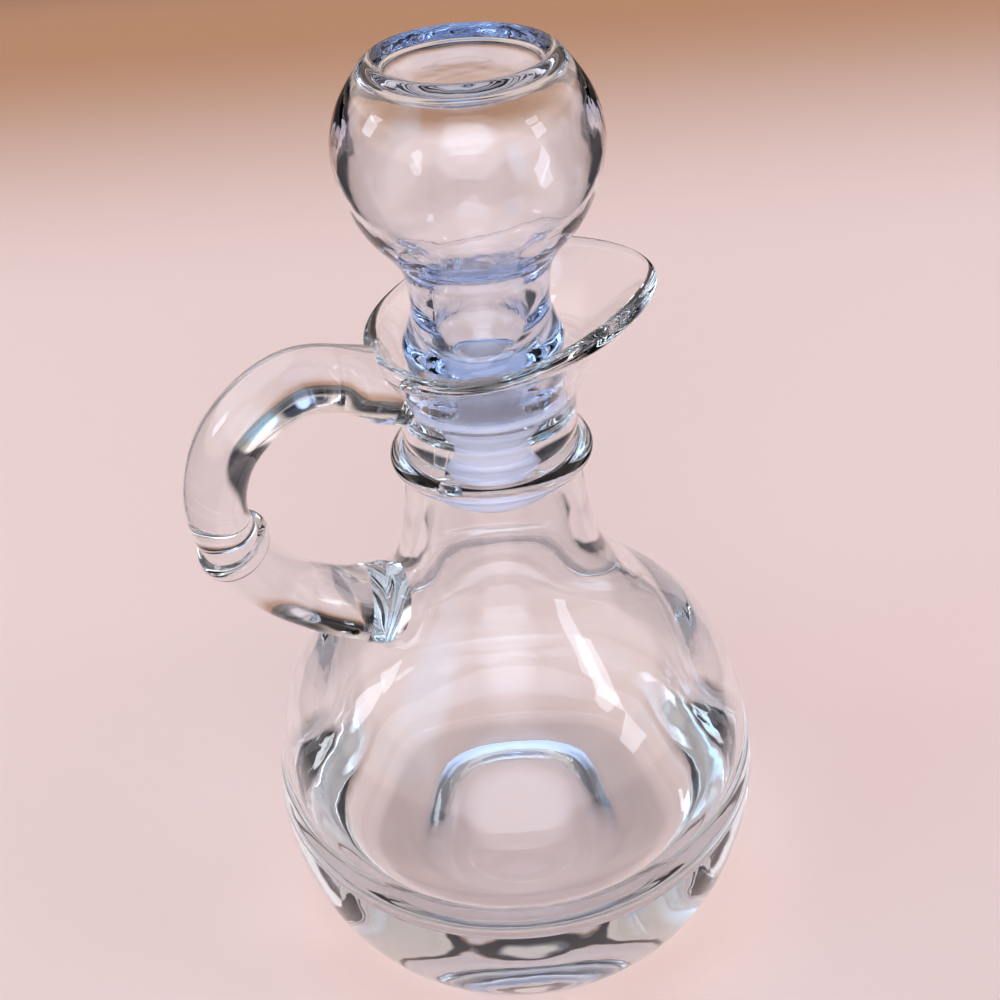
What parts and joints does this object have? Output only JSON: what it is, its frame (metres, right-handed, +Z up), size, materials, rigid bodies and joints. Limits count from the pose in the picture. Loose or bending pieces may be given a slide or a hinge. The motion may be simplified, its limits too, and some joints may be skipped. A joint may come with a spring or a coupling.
{
  "type": "oil cruet",
  "caption": "Clear glass oil and vinegar cruet with a round bowl, looped handle and pouring lip, closed by a hollow glass ball stopper in a ribbed plastic sleeve.",
  "frame": {"origin": "middle of the bounding box's footprint, on the surface that the base stands on", "axes": "+Z up along the bowl's axis, +X towards the spout, -X towards the handle, +Y across"},
  "size_m": [0.0956, 0.0892, 0.165],
  "materials": {
    "flint_glass": "clear, fire-polished",
    "stopper_glass": "clear, fire-polished",
    "frosted_polythene": "translucent, frosted"
  },
  "bodies": {
    "root": {"cruet": "flint_glass", "stopper": "stopper_glass", "sleeve": "frosted_polythene"}
  },
  "joints": []
}
